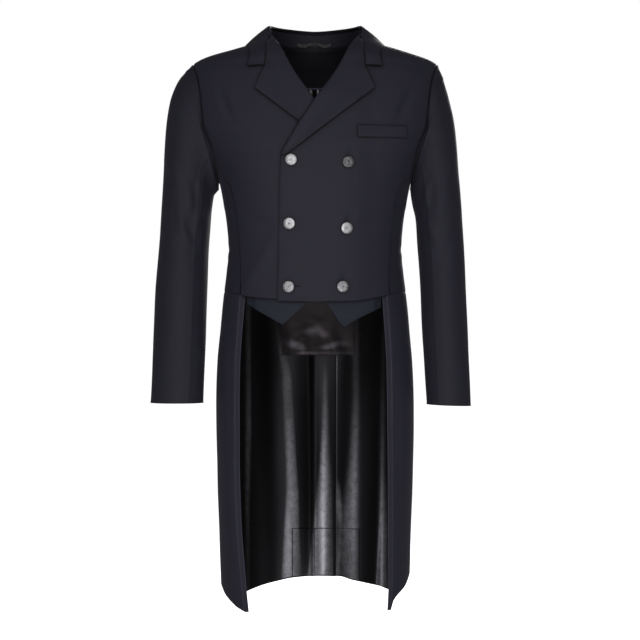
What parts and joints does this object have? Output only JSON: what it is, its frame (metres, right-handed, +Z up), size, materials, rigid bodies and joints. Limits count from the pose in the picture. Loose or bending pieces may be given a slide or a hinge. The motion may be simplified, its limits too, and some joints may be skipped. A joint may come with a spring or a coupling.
{
  "type": "riding show jacket",
  "caption": "Double-breasted riding tailcoat worn hollow, short buttoned front with notched lapels, long sleeves, lined tails with a back vent.",
  "frame": {"origin": "base of the neck, on the shoulder line, in the middle of the neck opening, where the wearer holds the jacket up", "axes": "+Z up along the wearer's spine, +X to the wearer's left, -Y to the wearer's front"},
  "size_m": [0.6006, 0.2749, 1.0986],
  "materials": {
    "show_cloth": "matte, fine weave",
    "lining": "glossy",
    "waistcoat_cloth": "matte",
    "button_metal": "satin",
    "ribbon": "satin"
  },
  "bodies": {
    "root": {"front_left": "show_cloth", "side_panel_left": "show_cloth", "back_left": "show_cloth", "skirt_left": "show_cloth", "top_sleeve_left": "show_cloth", "under_sleeve_left": "show_cloth", "lapel_left": "show_cloth", "front_right": "show_cloth", "side_panel_right": "show_cloth", "back_right": "show_cloth", "skirt_right": "show_cloth", "top_sleeve_right": "show_cloth", "under_sleeve_right": "show_cloth", "lapel_right": "show_cloth", "collar_fall": "show_cloth", "collar_stand": "show_cloth", "neck_facing": "show_cloth", "breast_welt": "show_cloth", "tail_lining_left": "lining", "tail_lining_right": "lining", "back_lining": "lining", "inner_flap": "lining", "waistcoat_point_left": "waistcoat_cloth", "waistcoat_point_right": "waistcoat_cloth", "button_right_top": "button_metal", "button_right_middle": "button_metal", "button_right_bottom": "button_metal", "button_left_top": "button_metal", "button_left_middle": "button_metal", "button_left_bottom": "button_metal", "hanger_loop": "ribbon"}
  },
  "joints": []
}
